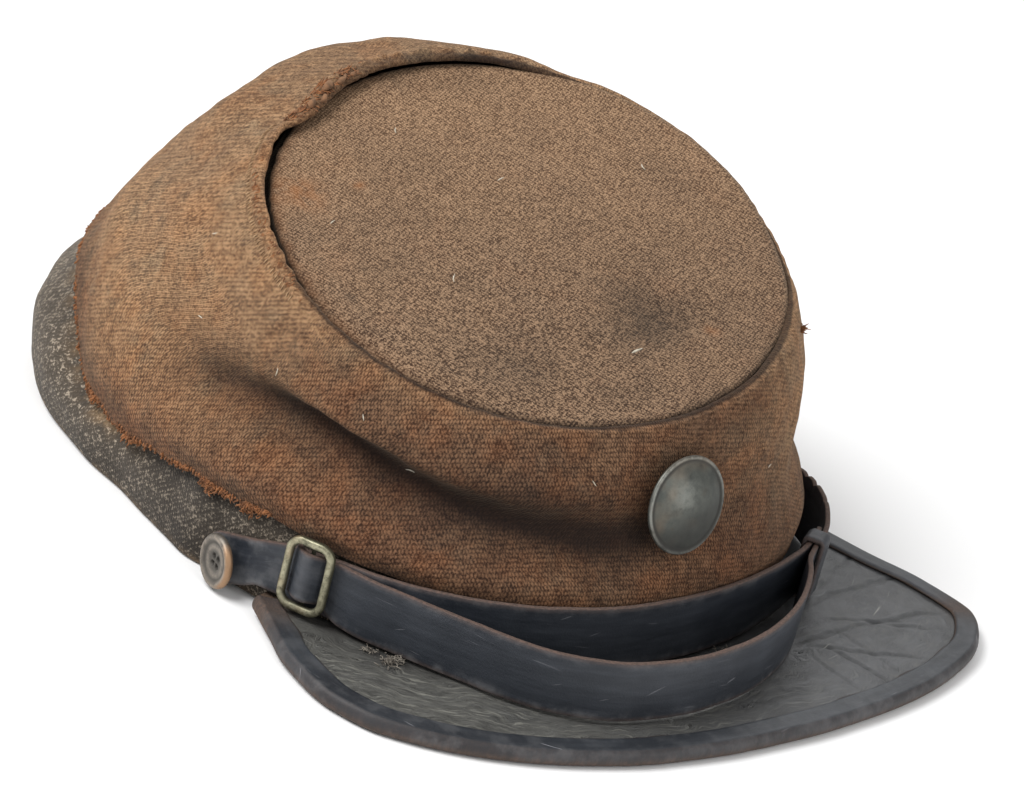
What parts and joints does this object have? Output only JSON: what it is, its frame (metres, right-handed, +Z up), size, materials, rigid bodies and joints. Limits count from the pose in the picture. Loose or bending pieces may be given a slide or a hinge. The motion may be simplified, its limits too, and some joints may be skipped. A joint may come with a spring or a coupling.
{
  "type": "forage cap",
  "caption": "Worn soft forage cap with a sagging brown cloth crown, dark cloth band, leather peak, slack chin strap, slide buckle and domed front button.",
  "frame": {"origin": "middle of the cap's footprint box, on the plane that the band's lower edge stands on", "axes": "+Z up, the peak points along -Y, the wearer's right side is -X"},
  "size_m": [0.1961, 0.2397, 0.097],
  "materials": {
    "crown_cloth": "faded twill, rubbed and sun-browned",
    "top_cloth": "faded plain weave with dark blotches",
    "band_cloth": "dark speckled tweed",
    "peak_leather": "crazed, dull and scuffed",
    "binding_leather": "rubbed, brown at its edge",
    "strap_leather": "satin black with raw brown edges",
    "buckle_brass": "tarnished",
    "button_pewter": "dull grey-green patina",
    "button_tarnished": "dark, coppery at one edge"
  },
  "bodies": {
    "root": {"crown": "crown_cloth", "crown_top": "top_cloth", "band": "band_cloth", "peak": "peak_leather", "peak_binding": "binding_leather", "strap_right": "strap_leather", "strap_left": "strap_leather", "keeper": "strap_leather", "buckle": "buckle_brass", "front_button": "button_pewter", "side_button_right": "button_tarnished", "side_button_left": "button_tarnished"}
  },
  "joints": []
}
